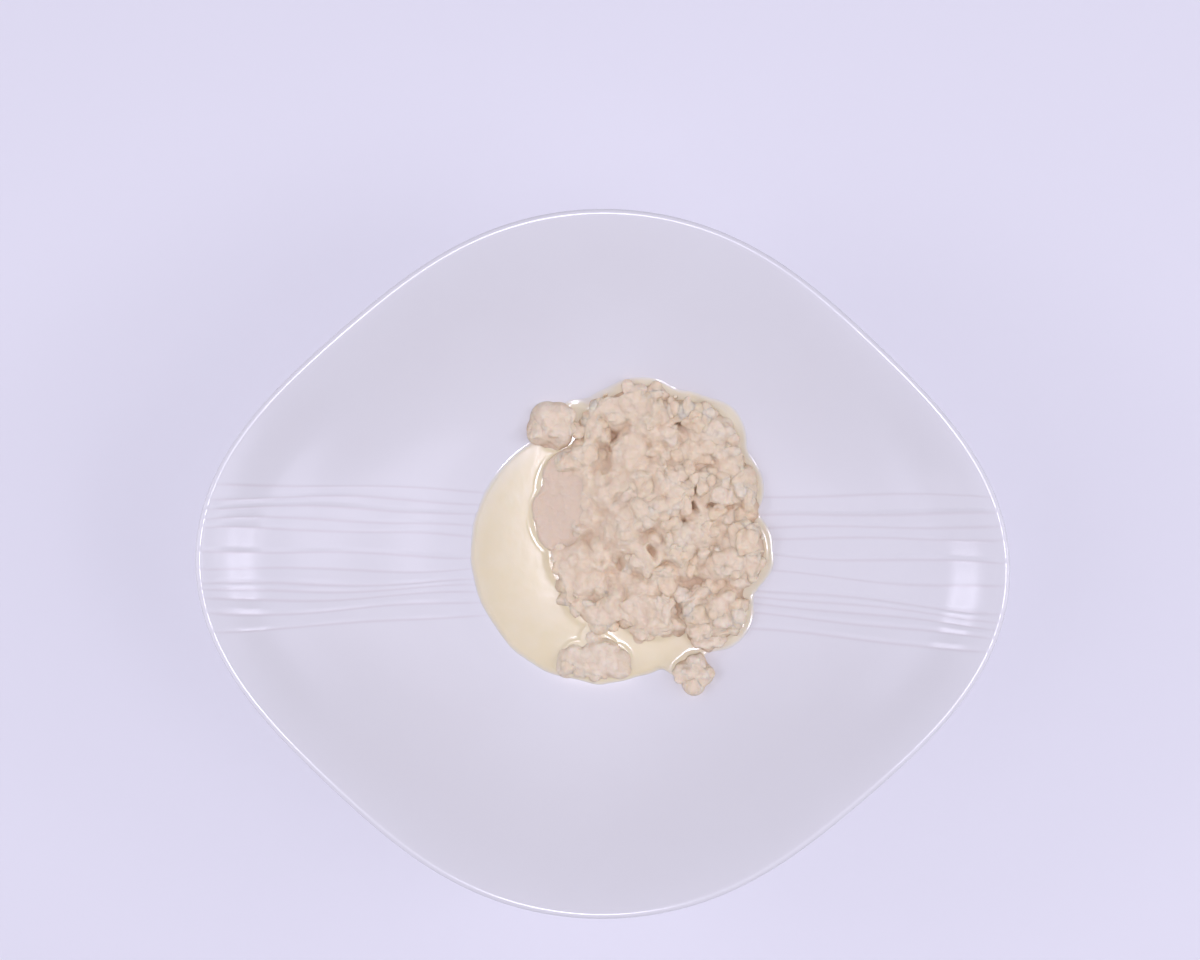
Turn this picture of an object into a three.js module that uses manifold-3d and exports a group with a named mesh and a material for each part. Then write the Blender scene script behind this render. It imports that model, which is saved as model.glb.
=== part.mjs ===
// A glossy porcelain bowl, a rounded lozenge with pleated tips, holding a heap of cheese
// curds in a shallow pool of cream sauce, with three clumps of curd lying apart from it.
// Millimetres, +Z up. The origin is the middle of the bowl's foot, on the table, and the
// two tips point along -X and +X.

import * as THREE from 'three';
import { mergeVertices } from 'three/addons/utils/BufferGeometryUtils.js';
import Module from 'manifold-3d';

const wasm = await Module();
wasm.setup();

// ---------------------------------------------------------------- driving dimensions

const BOWL = {
  length: 290,        // tip to tip, outside the lip
  width: 256.4,       // side to side, outside the lip
  shoulder: 125,      // reach of the rim on the diagonals
  tipDraw: 1.26,      // how far the tips are drawn out to a point
  roundReach: 118,    // the level lines turn round towards this circle in the middle
  rimMean: 58,        // height of the rim, averaged
  rimSwing: 4,        // the tips stand this much above the mean, the sides below it
  floorTop: 7.5,      // height of the inner floor
  flatShare: 0.28,    // share of the reach that is flat floor
  wallFloor: 4.7,     // thickness at the floor
  wallRim: 3.2,       // thickness at the lip
};

const FOOT = { inner: 45, outer: 50.2, recess: 2.8, blend: 52.6, blendTop: 4.4 };

// Creases run the length of each tip, side by side: their offsets from the long axis at
// the rim. Each pleat steps up at its crease and slopes back down to the next one.
const PLEATS = {
  right: [-28, -22.5, -18.5, -12.5, -4, 4, 11.5, 20, 27],
  left: [-26, -20, -15.5, -10.3, -5.2, 0.5, 8.6, 16.8, 26],
  depth: 0.5,
  step: 1.3,          // width of the step beside a crease
  gather: 0.92,       // the creases draw together towards the middle by this factor
  fadeStart: 55,      // distance from the middle where the relief begins
  fadeEnd: 100,       // and where it is full
};

const SAUCE = { x: -0.6, y: 2.4, radius: 50.6, level: 9.8 };

const GAP = 0.3;      // clearance between things that rest against each other

// Mounds that make up the heap: place, radius and height above the bowl's floor.
const MOUNDS = [
  { x: 26, y: 18, r: 31, h: 16 },
  { x: 13.2, y: 49.7, r: 18.5, h: 10 },
  { x: 30, y: 48.5, r: 17, h: 11 },
  { x: 37, y: 47.5, r: 15, h: 10 },
  { x: 42, y: 27, r: 17.5, h: 12 },
  { x: 46, y: 4, r: 18, h: 11 },
  { x: 43, y: -19, r: 16.5, h: 10 },
  { x: 20, y: -15.5, r: 16, h: 10 },
  { x: -1, y: -12.8, r: 15.2, h: 6.5 },
  { x: -7, y: 0, r: 15.5, h: 5.5 },
  { x: -10.5, y: 16, r: 18, h: 4.5 },
  { x: -8, y: 26.5, r: 18, h: 4.5 },
  { x: -1.5, y: 36, r: 13, h: 6.5 },
  { x: 4.2, y: 49.5, r: 15, h: 8 },
];
const HEAP_MIDDLE = { x: 14, y: 14 };
const HEAP_EDGE = 3.2;                                  // height of the heap's bluff edge
const CURDS = { pitch: 8.5, radius: 5.6, rise: 2.8, seed: 11 };
const SOAKED_SLAB = { x: -14, y: 18, r: 15 };           // smoother, its curds sunk in sauce

// Clumps lying apart: the lobes each is made of, and its height above the bowl's floor.
const CLUMPS = {
  clump_by_heap: { height: 7, lobes: [
    { x: -22, y: 50.4, r: 7.8 }, { x: -18.8, y: 48, r: 5.8 }] },
  clump_in_pool: { height: 6.8, lobes: [
    { x: -7.4, y: -39.2, r: 6.6 }, { x: 0.6, y: -37.4, r: 8.2 }, { x: 6.4, y: -39.4, r: 6.2 }] },
  clump_at_edge: { height: 7, lobes: [
    { x: 38.6, y: -42.6, r: 6.2 }, { x: 37.2, y: -46.6, r: 5.4 }] },
};

const COLOURS = { porcelain: 0xdcd9e4, sauce: 0xdfd2bf, curd: 0xdbc6b8 };

// ---------------------------------------------------------------- small helpers

const { cos, sin, PI, hypot, max, min, abs } = Math;
const mix = THREE.MathUtils.lerp;
const smooth = THREE.MathUtils.smoothstep;

// Seeded random numbers in 0..1.
function randomSource(seed) {
  let state = seed;
  return () => {
    state = (state + 0x6d2b79f5) | 0;
    let t = Math.imul(state ^ (state >>> 15), 1 | state);
    t = (t + Math.imul(t ^ (t >>> 7), 61 | t)) ^ t;
    return ((t ^ (t >>> 14)) >>> 0) / 4294967296;
  };
}

// A closed body through a stack of rings of equal length, from a pole below to a pole at
// the far end. The rings run anticlockwise seen from above.
function ringBody(firstPole, rings, lastPole) {
  const count = rings[0].length;
  const points = [firstPole, ...rings.flat(), lastPole];
  const index = [];
  const at = (ring, k) => 1 + ring * count + (k % count);
  for (let k = 0; k < count; k++) {
    index.push(0, at(0, k + 1), at(0, k));
    for (let ring = 0; ring < rings.length - 1; ring++) {
      const [a, b] = [at(ring, k), at(ring, k + 1)];
      const [c, d] = [at(ring + 1, k + 1), at(ring + 1, k)];
      index.push(a, b, c, a, c, d);
    }
    index.push(at(rings.length - 1, k), at(rings.length - 1, k + 1), points.length - 1);
  }
  const geometry = new THREE.BufferGeometry().setFromPoints(points);
  geometry.setIndex(index);
  return geometry;
}

// ---------------------------------------------------------------- the bowl

// Distance from the middle to the outside of the lip: a lozenge with round corners, as a
// short sum of cosines of even multiples of the direction.
function rimReach(direction) {
  const mean = (BOWL.length + BOWL.width) / 4;
  const stretch = (BOWL.length - BOWL.width) / 4 - BOWL.tipDraw;
  return (mean + BOWL.shoulder) / 2
    + stretch * cos(2 * direction)
    + ((mean - BOWL.shoulder) / 2) * cos(4 * direction)
    + BOWL.tipDraw * cos(6 * direction);
}

// The lip is a half round as thick as the wall, leaning out with it.
const LIP_LEAN = 0.76;
const innerRim = (direction) => rimReach(direction) - LIP_LEAN * BOWL.wallRim;
const rimHeight = (direction) => BOWL.rimMean + BOWL.rimSwing * cos(2 * direction);

// Distance to the level line `share` of the way out, which is round near the middle.
function levelReach(share, direction) {
  return share * mix(BOWL.roundReach, innerRim(direction), smooth(share, 0.3, 1));
}

// Height of the smooth inner surface: flat, then a curve that steepens and eases again
// just inside the lip.
function innerHeight(share, direction) {
  const s = max(0, (share - BOWL.flatShare) / (1 - BOWL.flatShare));
  const rise = 1.3 * s ** 2.3 - 0.3 * s ** 6;
  return BOWL.floorTop + (rimHeight(direction) - BOWL.floorTop) * rise;
}

// The inner height under any point, found by walking the share back from the reach.
function floorUnder(x, y) {
  const reach = hypot(x, y);
  const direction = Math.atan2(y, x);
  let share = reach / BOWL.roundReach;
  for (let k = 0; k < 6; k++) share *= reach > 0 ? reach / levelReach(share, direction) : 1;
  return innerHeight(share, direction);
}

// Relief of the pleats at one offset across a tip, before it fades towards the middle.
function pleatRelief(creases, offset) {
  const k = creases.findIndex((crease) => offset < crease) - 1;
  if (k < 0) return 0;
  const into = offset - creases[k];
  const width = creases[k + 1] - creases[k];
  return PLEATS.depth * min(into / PLEATS.step, (width - into) / (width - PLEATS.step));
}

// One column of the bowl's mesh stands at each crease and at the top of its step, and the
// rest are shared out evenly round the sides.
function bowlColumns() {
  const tip = (creases) => creases.flatMap((crease, k) =>
    k < creases.length - 1 ? [crease, crease + PLEATS.step] : [crease]);
  const sideCount = 24;
  const side = Array.from({ length: sideCount }, (_, k) => ({ turn: (k + 1) / (sideCount + 1) }));
  const right = tip(PLEATS.right).map((offset) => ({ side: 1, offset }));
  const left = tip(PLEATS.left).reverse().map((offset) => ({ side: -1, offset }));
  return [
    ...right,
    ...side.map((c) => ({ ...c, from: right.at(-1), to: left[0] })),
    ...left,
    ...side.map((c) => ({ ...c, from: left.at(-1), to: right[0] })),
  ];
}

// Direction of a column at a share of the reach. Over the tips the columns keep to the
// creases, almost parallel to the long axis; on the floor they run straight to the middle.
function columnDirection(column, share) {
  const held = max(share, 0.44);
  if (column.offset === undefined) {
    const start = columnDirection(column.from, held);
    let end = columnDirection(column.to, held);
    if (end < start) end += 2 * PI;
    return start + (end - start) * column.turn;
  }
  const offset = column.offset * mix(PLEATS.gather, 1, smooth(held, 0.44, 1));
  let direction = 0;
  for (let k = 0; k < 5; k++) direction = Math.asin(offset / levelReach(held, direction));
  return column.side > 0 ? direction : PI - direction;
}

function bowlPoint(column, share, depth) {
  const direction = columnDirection(column, share);
  const reach = levelReach(share, direction);
  const step = 0.01;
  const slope = (innerHeight(share + step, direction) - innerHeight(share - step, direction))
    / (levelReach(share + step, direction) - levelReach(share - step, direction));
  const lean = hypot(1, slope);
  let relief = 0;
  if (column.offset !== undefined) {
    const creases = column.side > 0 ? PLEATS.right : PLEATS.left;
    relief = pleatRelief(creases, column.offset) * smooth(reach, PLEATS.fadeStart, PLEATS.fadeEnd);
  }
  const out = reach + (depth * slope) / lean;
  const up = innerHeight(share, direction) - depth / lean + relief;
  return { point: new THREE.Vector3(out * cos(direction), out * sin(direction), up), slope };
}

function bowlGeometry() {
  const columns = bowlColumns();
  const ringAt = (share, depth) => columns.map((c) => bowlPoint(c, share, depth).point);
  const roundRing = (radius, height) => columns.map((c) => {
    const direction = columnDirection(c, 0);
    return new THREE.Vector3(radius * cos(direction), radius * sin(direction), height);
  });
  // A half round joins the outside of the wall to the inside, over the lip.
  const lipRing = (turn) => columns.map((c) => {
    const radius = BOWL.wallRim / 2;
    const { point: middle, slope } = bowlPoint(c, 1, radius);
    const direction = columnDirection(c, 1);
    const tilt = Math.atan(slope) - PI / 2 + turn;
    const out = hypot(middle.x, middle.y) + radius * cos(tilt);
    return new THREE.Vector3(
      out * cos(direction), out * sin(direction), middle.z + radius * sin(tilt));
  });
  const underside = [
    roundRing(FOOT.inner - 1.6, FOOT.recess),
    roundRing(FOOT.inner, 0),
    roundRing(FOOT.outer, 0),
    roundRing(FOOT.outer + 0.9, 0.9),
    roundRing(FOOT.blend, FOOT.blendTop),
  ];
  const outerShares = [0.52, 0.61, 0.7, 0.79, 0.87, 0.94, 1];
  const outside = outerShares.map((share) =>
    ringAt(share, mix(BOWL.wallFloor, BOWL.wallRim, smooth(share, 0.4, 1))));
  const lip = [0.25, 0.5, 0.75].map((part) => lipRing(part * PI));
  const innerShares = [1, 0.97, 0.93, 0.88, 0.81, 0.73, 0.65, 0.58, 0.52, 0.46, 0.4, 0.34, 0.28];
  const inside = innerShares.map((share) => ringAt(share, 0));
  return ringBody(
    new THREE.Vector3(0, 0, FOOT.recess),
    [...underside, ...outside, ...lip, ...inside],
    new THREE.Vector3(0, 0, BOWL.floorTop));
}

// ---------------------------------------------------------------- the food

// How far a ray from `middle` goes before it leaves the last of some circles.
function lobeReach(lobes, middle, direction) {
  const [dx, dy] = [cos(direction), sin(direction)];
  return max(...lobes.map(({ x, y, r }) => {
    const along = (x - middle.x) * dx + (y - middle.y) * dy;
    const aside = (x - middle.x) * dy - (y - middle.y) * dx;
    return abs(aside) < r ? along + Math.sqrt(r * r - aside * aside) : 0;
  }));
}

// Curds all over an area on a jittered triangular pattern, each a small round bump.
function scatterCurds(reach, seed) {
  const random = randomSource(seed);
  const curds = [];
  const rows = Math.ceil(reach / CURDS.pitch) + 1;
  for (let row = -rows; row <= rows; row++) {
    for (let k = -rows; k <= rows; k++) {
      curds.push({
        x: (k + 0.5 * (row & 1) + 0.6 * (random() - 0.5)) * CURDS.pitch,
        y: (row * 0.87 + 0.6 * (random() - 0.5)) * CURDS.pitch,
        r: CURDS.radius * (0.75 + 0.5 * random()),
        rise: CURDS.rise * (0.5 + random()),
      });
    }
  }
  return curds;
}

function curdRelief(curds, x, y) {
  return max(0, ...curds.map((curd) => {
    const share = hypot(x - curd.x, y - curd.y) / curd.r;
    return share < 1 ? curd.rise * Math.sqrt(1 - share * share) : 0;
  }));
}

// A body of food on the bowl's floor: its outline is the reach of its lobes, its foot
// follows the floor, and its top is given by `heightAt`, above the floor.
function foodGeometry({ middle, directions, shares, footShares, reachOf, heightAt }) {
  const ringAt = (share, above) => Array.from({ length: directions }, (_, k) => {
    const direction = (2 * PI * k) / directions;
    const out = reachOf(direction) * share;
    const x = middle.x + out * cos(direction);
    const y = middle.y + out * sin(direction);
    return new THREE.Vector3(x, y, floorUnder(x, y) + above(x, y, share));
  });
  const poleAt = (above) => new THREE.Vector3(
    middle.x, middle.y, floorUnder(middle.x, middle.y) + above(middle.x, middle.y, 0));
  const foot = footShares.map((share) => ringAt(share, () => GAP));
  const top = shares.map((share) => ringAt(share, heightAt));
  return ringBody(poleAt(() => GAP), [...foot, ...top], poleAt(heightAt));
}

const HEAP_DIRECTIONS = 84;
const HEAP_RINGS = 17;
const heapReach = (direction) => lobeReach(MOUNDS, HEAP_MIDDLE, direction);

function heapGeometry() {
  const curds = scatterCurds(64, CURDS.seed)
    .map((curd) => ({ ...curd, x: curd.x + HEAP_MIDDLE.x, y: curd.y + HEAP_MIDDLE.y }));
  const heightAt = (x, y, share) => {
    const dome = max(...MOUNDS.map((m) => {
      const out = min(1, hypot(x - m.x, y - m.y) / m.r);
      return m.h * (1 - out * out) ** 0.7;
    }));
    const soaked = smooth(hypot(x - SOAKED_SLAB.x, y - SOAKED_SLAB.y), 8, SOAKED_SLAB.r + 6);
    const relief = curdRelief(curds, x, y) * mix(0.3, 1, soaked);
    const bluff = HEAP_EDGE * (1 - smooth(share, 0.93, 1) * 0.45);
    return max(dome, bluff) + relief * (1 - 0.6 * smooth(share, 0.9, 1));
  };
  return foodGeometry({
    middle: HEAP_MIDDLE,
    directions: HEAP_DIRECTIONS,
    shares: Array.from({ length: HEAP_RINGS }, (_, k) => 1 - k / HEAP_RINGS),
    footShares: [0.5, 1],
    reachOf: heapReach,
    heightAt,
  });
}

function clumpMiddle(lobes) {
  const mean = (axis) => lobes.reduce((sum, lobe) => sum + lobe[axis], 0) / lobes.length;
  return { x: mean('x'), y: mean('y') };
}

const CLUMP_DIRECTIONS = 22;

function clumpGeometry({ lobes, height }, seed) {
  const middle = clumpMiddle(lobes);
  const random = randomSource(seed);
  const knobs = Array.from({ length: 7 }, (_, k) => ({
    x: middle.x + 5 * cos(k * 2.4) * (0.3 + random()),
    y: middle.y + 4 * sin(k * 2.4) * (0.3 + random()),
    r: 3 + random(),
    rise: 1.1 + 0.8 * random(),
  }));
  return foodGeometry({
    middle,
    directions: CLUMP_DIRECTIONS,
    shares: [1, 0.93, 0.82, 0.66, 0.48, 0.25],
    footShares: [1],
    reachOf: (direction) => lobeReach(lobes, middle, direction),
    heightAt: (x, y, share) =>
      1.4 + (height - 2.4) * (1 - share ** 3) ** 0.6 + curdRelief(knobs, x, y) * (1 - share ** 4),
  });
}

// ---------------------------------------------------------------- the sauce

// Geometry to manifold solid, and back.
function toSolid(geometry) {
  const bare = geometry.clone();
  bare.deleteAttribute('normal');
  bare.deleteAttribute('uv');
  const merged = mergeVertices(bare, 1e-4);
  return new wasm.Manifold(new wasm.Mesh({
    numProp: 3,
    vertProperties: new Float32Array(merged.attributes.position.array),
    triVerts: new Uint32Array(merged.index.array),
  }));
}

function toGeometry(solid) {
  const mesh = solid.getMesh();
  const geometry = new THREE.BufferGeometry();
  geometry.setAttribute('position', new THREE.BufferAttribute(mesh.vertProperties, 3));
  geometry.setIndex(new THREE.BufferAttribute(mesh.triVerts, 1));
  return geometry;
}

// An upright column standing through the sauce wherever food does, a gap wider than it.
function foodColumn(middle, directions, reachOf) {
  const outline = Array.from({ length: directions }, (_, k) => {
    const direction = (2 * PI * k) / directions;
    const out = reachOf(direction) + 1.5 * GAP;
    return new THREE.Vector2(middle.x + out * cos(direction), middle.y + out * sin(direction));
  });
  return new THREE.ExtrudeGeometry(new THREE.Shape(outline), { depth: 60, bevelEnabled: false });
}

// A round pool up to its level, lying on the floor, cut round the heap and the clumps. Its
// one large body is kept, without the drop caught between the heap and the clump by it.
function sauceGeometry() {
  const directions = 72;
  const ringAt = (share, heightOf) => Array.from({ length: directions }, (_, k) => {
    const direction = (2 * PI * k) / directions;
    const x = SAUCE.x + SAUCE.radius * share * cos(direction);
    const y = SAUCE.y + SAUCE.radius * share * sin(direction);
    return new THREE.Vector3(x, y, heightOf(x, y));
  });
  const bed = (x, y) => floorUnder(x, y) + GAP;
  const pool = ringBody(
    new THREE.Vector3(SAUCE.x, SAUCE.y, bed(SAUCE.x, SAUCE.y)),
    [...[0.55, 0.72, 0.87, 1].map((share) => ringAt(share, bed)),
      ringAt(1, (x, y) => max(SAUCE.level - 0.2, bed(x, y) + 0.25)),
      ringAt(0.98, (x, y) => max(SAUCE.level, bed(x, y) + 0.3))],
    new THREE.Vector3(SAUCE.x, SAUCE.y, SAUCE.level));
  let solid = toSolid(pool);
  solid = solid.subtract(toSolid(foodColumn(HEAP_MIDDLE, HEAP_DIRECTIONS, heapReach)));
  for (const { lobes } of Object.values(CLUMPS)) {
    const middle = clumpMiddle(lobes);
    const reachOf = (direction) => lobeReach(lobes, middle, direction);
    solid = solid.subtract(toSolid(foodColumn(middle, CLUMP_DIRECTIONS, reachOf)));
  }
  const bodies = solid.decompose().sort((a, b) => b.volume() - a.volume());
  return toGeometry(bodies[0]);
}

// ---------------------------------------------------------------- the whole

function addPiece(group, name, geometry, color, roughness) {
  const material = new THREE.MeshStandardMaterial({ color, roughness, metalness: 0 });
  const mesh = new THREE.Mesh(geometry, material);
  mesh.name = name;
  group.add(mesh);
}

const dish = new THREE.Group();
addPiece(dish, 'bowl', bowlGeometry(), COLOURS.porcelain, 0.15);
addPiece(dish, 'sauce_pool', sauceGeometry(), COLOURS.sauce, 0.25);
addPiece(dish, 'curd_heap', heapGeometry(), COLOURS.curd, 0.5);
Object.entries(CLUMPS).forEach(([name, clump], k) => {
  addPiece(dish, name, clumpGeometry(clump, 21 + k), COLOURS.curd, 0.5);
});

export default dish;
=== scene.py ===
"""Cheese curd crumble in cream sauce, in a pleated porcelain bowl.

The bowl, the sauce, the heap and the clumps are surfaces worked out with numpy over the
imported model. Lengths in the functions are millimetres; meshes and properties are in metres.
"""

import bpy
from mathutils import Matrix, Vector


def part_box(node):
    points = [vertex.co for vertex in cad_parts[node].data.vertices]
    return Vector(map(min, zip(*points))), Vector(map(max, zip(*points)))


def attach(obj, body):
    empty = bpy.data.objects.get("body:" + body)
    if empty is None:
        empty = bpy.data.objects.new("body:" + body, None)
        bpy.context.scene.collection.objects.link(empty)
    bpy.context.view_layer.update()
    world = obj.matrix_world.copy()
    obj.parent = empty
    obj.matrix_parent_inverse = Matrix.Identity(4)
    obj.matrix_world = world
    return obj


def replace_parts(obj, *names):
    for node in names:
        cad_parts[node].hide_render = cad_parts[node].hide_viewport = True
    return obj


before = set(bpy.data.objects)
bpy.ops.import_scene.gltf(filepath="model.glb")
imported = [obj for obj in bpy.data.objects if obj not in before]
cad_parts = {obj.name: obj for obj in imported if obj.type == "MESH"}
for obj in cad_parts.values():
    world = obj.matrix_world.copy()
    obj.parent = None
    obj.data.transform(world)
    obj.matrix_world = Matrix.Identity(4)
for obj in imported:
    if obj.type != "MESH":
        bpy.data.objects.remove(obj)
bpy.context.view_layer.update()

import math
from types import SimpleNamespace

import bpy
import numpy as np
from bpy.props import FloatProperty, FloatVectorProperty, IntProperty, PointerProperty

bl_info = {
    "name": "Curds in cream in a pleated bowl",
    "version": (1, 0, 0),
    "blender": (4, 5, 0),
    "location": "3D View > Sidebar > Curd bowl",
    "description": "A bowl of cheese curd crumble in cream sauce, on a pale table",
    "category": "Add Mesh",
}

MM = 0.001
BODY = "root"


def linear(hex_colour):
    """An sRGB hex colour as linear red, green and blue: the standard's curve, undone."""
    values = np.array([int(hex_colour[k:k + 2], 16) / 255 for k in (1, 3, 5)])
    curve = np.where(values <= 0.04045, values / 12.92, ((values + 0.055) / 1.055) ** 2.4)
    return tuple(float(v) for v in curve)


def box_size(node):
    """Length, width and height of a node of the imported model, in metres."""
    low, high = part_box(node)
    return high - low


# ---- properties


def length(name, description, default):
    """A property that holds a length, in metres."""
    return FloatProperty(name=name, description=description, default=default, unit="LENGTH")


def colour(name, description, hex_colour):
    """A property that holds a colour, given in hex and kept as linear values."""
    return FloatVectorProperty(name=name, description=description, default=linear(hex_colour),
                               size=3, min=0, max=1, subtype="COLOR")


class BowlSizes(bpy.types.PropertyGroup):
    """The porcelain bowl."""

    length: length("Length", "Tip to tip, outside the lip", box_size("bowl").x)
    width: length("Width", "Side to side, outside the lip", box_size("bowl").y)
    shoulder: length("Shoulder", "Reach of the rim on the diagonals", 0.125)
    tip_draw: length("Tip draw", "How far the tips are drawn out to a point", 0.00126)
    rim_mean: length("Rim height", "Height of the rim, averaged", 0.058)
    rim_swing: length("Rim swing", "Rise of the tips above the mean", 0.004)
    floor_top: length("Floor", "Height of the inner floor", 0.0075)
    hollow: length("Hollow", "Depth of the slight hollow under the lip", 0.0012)
    wall_rim: length("Lip", "Thickness of the wall at the lip", 0.0032)
    wall_floor: length("Wall", "Thickness of the wall at the floor", 0.0047)
    pleat_depth: length("Pleat depth", "Height of the step at a pleat's crease", 0.0004)


class SauceSizes(bpy.types.PropertyGroup):
    """The pool of sauce and its film."""

    level: length("Level", "Height of the pool's surface", 0.00985)
    radius: length("Radius", "Radius of the round pool", 0.0506)
    film: length("Film", "Thickness of the film that creeps out from the heap", 0.0002)
    creep: length("Creep", "How far the film creeps out from the heap", 0.002)
    bead: length("Bead", "Width over which the pool's edge rounds down", 0.002)


class CurdSizes(bpy.types.PropertyGroup):
    """The curds, and the seed of everything placed at random."""

    lump_scale: FloatProperty(name="Lumps", description="Scale of the lumps of curd",
                              default=1.06, subtype="FACTOR")
    curd: length("Curd", "Half the width of a single curd", 0.0041)
    crumb: length("Crumb", "Half the width of a crumb", 0.0013)
    seed: IntProperty(name="Seed", description="Start of the random placing", default=7)


class Finishes(bpy.types.PropertyGroup):
    """Colours of the materials and of the light."""

    porcelain: colour("Porcelain", "The glazed body", "#e6e6e4")
    # Painted shade: this colour darkens the creases of the pleats; it also mottles the glaze at
    # random.
    groove: colour("Groove", "Glaze pooled in the creases", "#dfdcda")
    biscuit: colour("Foot", "The unglazed foot ring", "#ddd6cb")
    sauce: colour("Sauce", "Cream sauce where it is deep", "#e7dbb4")
    sauce_thin: colour("Thin sauce", "Cream sauce at its thin edge", "#ede4ca")
    curd: colour("Curd", "Curd on top of the heap", "#f3e7ce")
    curd_warm: colour("Warm curd", "The yellower curds", "#efdcba")
    # Painted shade: curds take this colour the deeper they lie between others.
    crevice_shade: colour("Crevice", "Shaded depths between curds", "#cdad8c")
    soaked: colour("Soaked curd", "Curd that lies soaked in the sauce", "#e3cfb4")
    table: colour("Table", "The table top", "#e9e9eb")
    daylight: colour("Light", "The studio's light", "#ede9ff")


class CurdBowl(bpy.types.PropertyGroup):
    """All of the scene's sizes and colours."""

    bowl: PointerProperty(type=BowlSizes)
    sauce: PointerProperty(type=SauceSizes)
    curds: PointerProperty(type=CurdSizes)
    finishes: PointerProperty(type=Finishes)


def own_properties(group):
    """The properties that a group declares itself."""
    return [p for p in group.bl_rna.properties if p.identifier not in ("rna_type", "name")]


def in_mm(group):
    """A property group's lengths as millimetres, its other values as they are."""
    values = {}
    for prop in own_properties(group):
        value = getattr(group, prop.identifier)
        values[prop.identifier] = value / MM if prop.unit == "LENGTH" else value
    return SimpleNamespace(**values)


# ---- meshes


def smooth(values, low, high):
    """A soft step from 0 at low to 1 at high."""
    t = np.clip((values - low) / (high - low), 0, 1)
    return t * t * (3 - 2 * t)


def mix(a, b, share):
    """The value a share of the way from a to b."""
    return a + (b - a) * share


def around(middle, reach, direction):
    """The x and y of points round a middle."""
    return middle[0] + reach * np.cos(direction), middle[1] + reach * np.sin(direction)


def turned(reach, direction, height):
    """Points round the z axis, as arrays that end in x, y and z."""
    return np.stack(np.broadcast_arrays(*around((0, 0), reach, direction), height), -1)


def apart(x, y, places):
    """Distances from points to places, whose rows start with x and y, along a last axis."""
    return np.hypot(x[..., None] - places[:, 0], y[..., None] - places[:, 1])


def ring_faces(rings, columns):
    """Quads between closed rings and triangles to a pole before the first and after the
    last: vertex 0 is the first pole, then the rings in turn, then the last pole."""
    k = np.arange(columns)
    following = (k + 1) % columns
    row = 1 + columns * np.arange(rings - 1)[:, None]
    quads = np.stack([row + k, row + following, row + columns + following, row + columns + k], -1)
    first = np.stack([np.zeros(columns, int), 1 + following, 1 + k], -1)
    top = 1 + columns * (rings - 1)
    last = np.stack([top + k, top + following, np.full(columns, top + columns)], -1)
    return quads.reshape(-1, 4), np.concatenate([first, last])


def ring_points(first_pole, rings, last_pole):
    """One array of vertices from a pole, an array (rings, columns, 3) and a pole."""
    return np.concatenate([np.reshape(first_pole, (1, 3)), rings.reshape(-1, 3),
                           np.reshape(last_pole, (1, 3))])


def mesh_piece(name, points, quads, triangles, attributes, material, slot):
    """A smooth shaded mesh object from arrays, riding on the model's one body."""
    mesh = bpy.data.meshes.new(name)
    corners = np.concatenate([quads.ravel(), triangles.ravel()]).astype(np.int32)
    totals = np.repeat([4, 3], [len(quads), len(triangles)]).astype(np.int32)
    starts = (np.cumsum(totals) - totals).astype(np.int32)
    mesh.vertices.add(len(points))
    mesh.vertices.foreach_set("co", (points * MM).astype(np.float32).ravel())
    mesh.loops.add(len(corners))
    mesh.loops.foreach_set("vertex_index", corners)
    mesh.polygons.add(len(totals))
    mesh.polygons.foreach_set("loop_start", starts)
    mesh.polygons.foreach_set("loop_total", totals)
    mesh.update(calc_edges=True)
    mesh.shade_smooth()
    for key, values in attributes.items():
        layer = mesh.attributes.new(key, "FLOAT", "POINT")
        layer.data.foreach_set("value", np.asarray(values, np.float32))
    mesh.materials.append(material)
    if mesh.validate():
        raise RuntimeError(f"{name} has a face that isn't sound")
    piece = bpy.data.objects.new(name, mesh)
    bpy.context.scene.collection.objects.link(piece)
    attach(piece, BODY)
    return piece


# ---- materials


def node(tree, kind, out, inputs=None, **choices):
    """Add a shader node and return its output of the name or number given: choices are
    the node's own settings, inputs are values or sockets to link."""
    made = tree.nodes.new("ShaderNode" + kind)
    for key, value in choices.items():
        setattr(made, key, value)
    for key, value in (inputs or {}).items():
        if isinstance(value, bpy.types.NodeSocket):
            tree.links.new(value, made.inputs[key])
        elif made.inputs[key].type == "RGBA":
            made.inputs[key].default_value = (*value[:3], 1)
        else:
            made.inputs[key].default_value = value
    return made.outputs[out] if out else None


def new_material(name):
    """An empty material and its node tree."""
    material = bpy.data.materials.new(name)
    material.use_nodes = True
    material.node_tree.nodes.clear()
    return material, material.node_tree


def porcelain_material(colours):
    """Hard porcelain, slip cast and dipped in clear glaze: a bright faintly cool white with
    a wet gloss, with painted shade darkening the creases, and a bare matt foot ring."""
    material, tree = new_material("glazed_porcelain")
    crease = node(tree, "Attribute", "Fac", attribute_name="crease")
    bare = node(tree, "Attribute", "Fac", attribute_name="bare")
    place = node(tree, "TexCoord", "Object")
    cloud = node(tree, "TexNoise", "Fac", {
        "Vector": place, "Scale": 1 / (35 * MM), "Detail": 3.0})
    mottle = node(tree, "MapRange", "Result", {
        "Value": cloud, "From Min": 0.35, "From Max": 0.65, "To Max": 0.12})
    base = colours.porcelain
    # The mottle falls at random; the creases take the groove colour as painted shade.
    for share, over in ((mottle, colours.groove), (crease, colours.groove),
                        (bare, colours.biscuit)):
        base = node(tree, "Mix", 2, {"Factor": share, 6: base, 7: over},
                    data_type="RGBA")
    roughness = node(tree, "MapRange", "Result", {
        "Value": bare, "To Min": 0.18, "To Max": 0.75})
    wave = node(tree, "TexNoise", "Fac", {
        "Vector": place, "Scale": 1 / (9 * MM), "Detail": 1.0})
    uneven = node(tree, "Bump", "Normal", {"Height": wave, "Distance": 0.012 * MM})
    shader = node(tree, "BsdfPrincipled", "BSDF", {
        "Base Color": base, "Roughness": roughness, "IOR": 1.5, "Normal": uneven})
    node(tree, "OutputMaterial", None, {"Surface": shader})
    return material


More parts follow.
